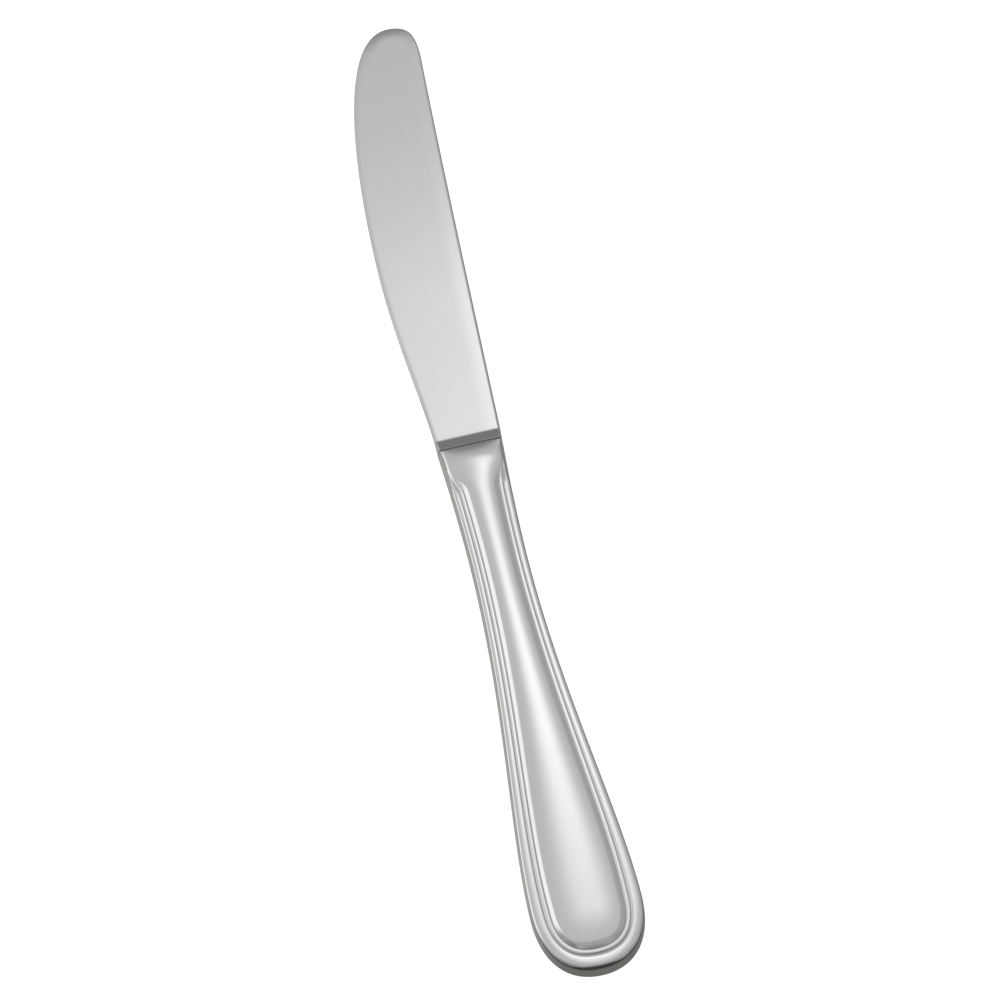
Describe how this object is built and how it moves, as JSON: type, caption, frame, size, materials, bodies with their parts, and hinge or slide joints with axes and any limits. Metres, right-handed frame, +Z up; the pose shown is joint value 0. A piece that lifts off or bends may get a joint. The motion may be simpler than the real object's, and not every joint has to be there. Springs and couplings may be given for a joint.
{
  "type": "table knife",
  "caption": "Table knife with a round-ended blade, sloped bolster and hollow polished handle bordered by raised threads; cuts and spreads food at table.",
  "frame": {"origin": "on the surface the knife lies on, under the middle of its length and of its width", "axes": "+Y from the butt to the tip, +X towards the spine, +Z up from the surface it lies on"},
  "size_m": [0.0254, 0.235, 0.0092],
  "materials": {
    "blade_steel": "fine satin along the blade",
    "handle_steel": "mirror polished stainless steel",
    "braze": "ground flush and polished",
    "solder": "dull tarnished solder",
    "cement": "rough cast, unseen"
  },
  "bodies": {
    "root": {"blade": "blade_steel", "front_shell": "handle_steel", "back_shell": "handle_steel", "seam_braze": "braze", "bolster_solder": "solder", "tang_core": "cement"}
  },
  "joints": []
}
